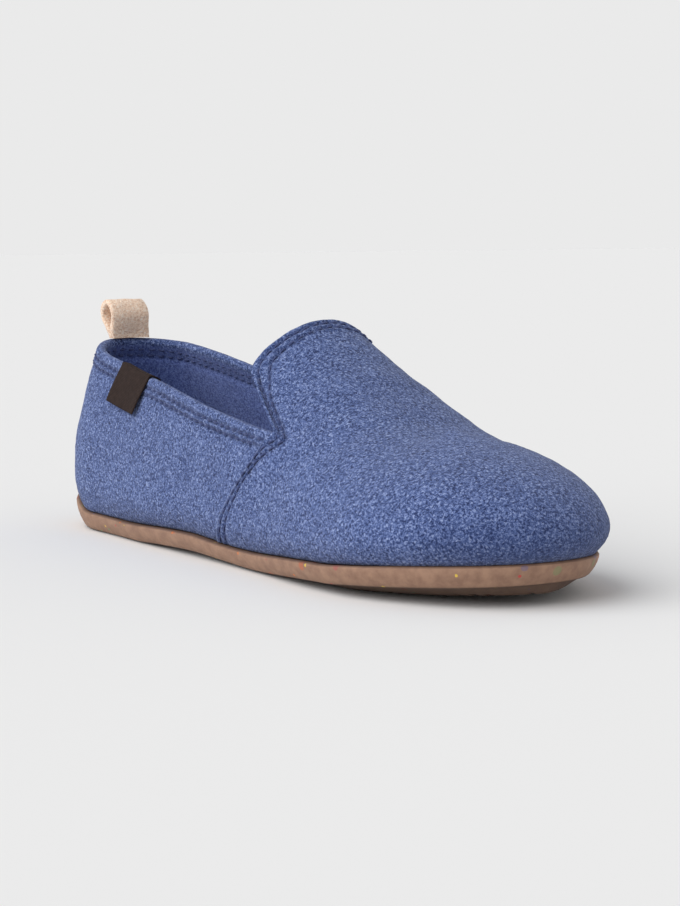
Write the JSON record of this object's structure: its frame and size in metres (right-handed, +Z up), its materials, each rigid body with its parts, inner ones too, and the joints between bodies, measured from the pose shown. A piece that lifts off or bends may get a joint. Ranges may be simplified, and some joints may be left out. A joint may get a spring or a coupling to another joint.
{
  "type": "felt slipper",
  "caption": "Right house slipper in felt: hollow upper with high tongue and side notches, arched rubber outsole, insole, heel pull loop and blank side label.",
  "frame": {"origin": "middle of the bounding box's bottom, on the floor under the sole", "axes": "+X towards the toe, +Z up from the floor, -Y is the outer side of the right foot"},
  "size_m": [0.2838, 0.0974, 0.0905],
  "materials": {
    "rubber": "matt brown recycled rubber with small coloured specks",
    "insole_felt": "plain dark blue felt over a soft footbed",
    "felt": "thick heathered blue boiled-wool felt, matt, with short nap",
    "strap_felt": "beige felt strap",
    "label_ribbon": "blank dark woven ribbon"
  },
  "bodies": {
    "root": {"outsole": "rubber", "insole": "insole_felt", "upper": "felt", "pull_loop": "strap_felt", "side_label": "label_ribbon"}
  },
  "joints": []
}
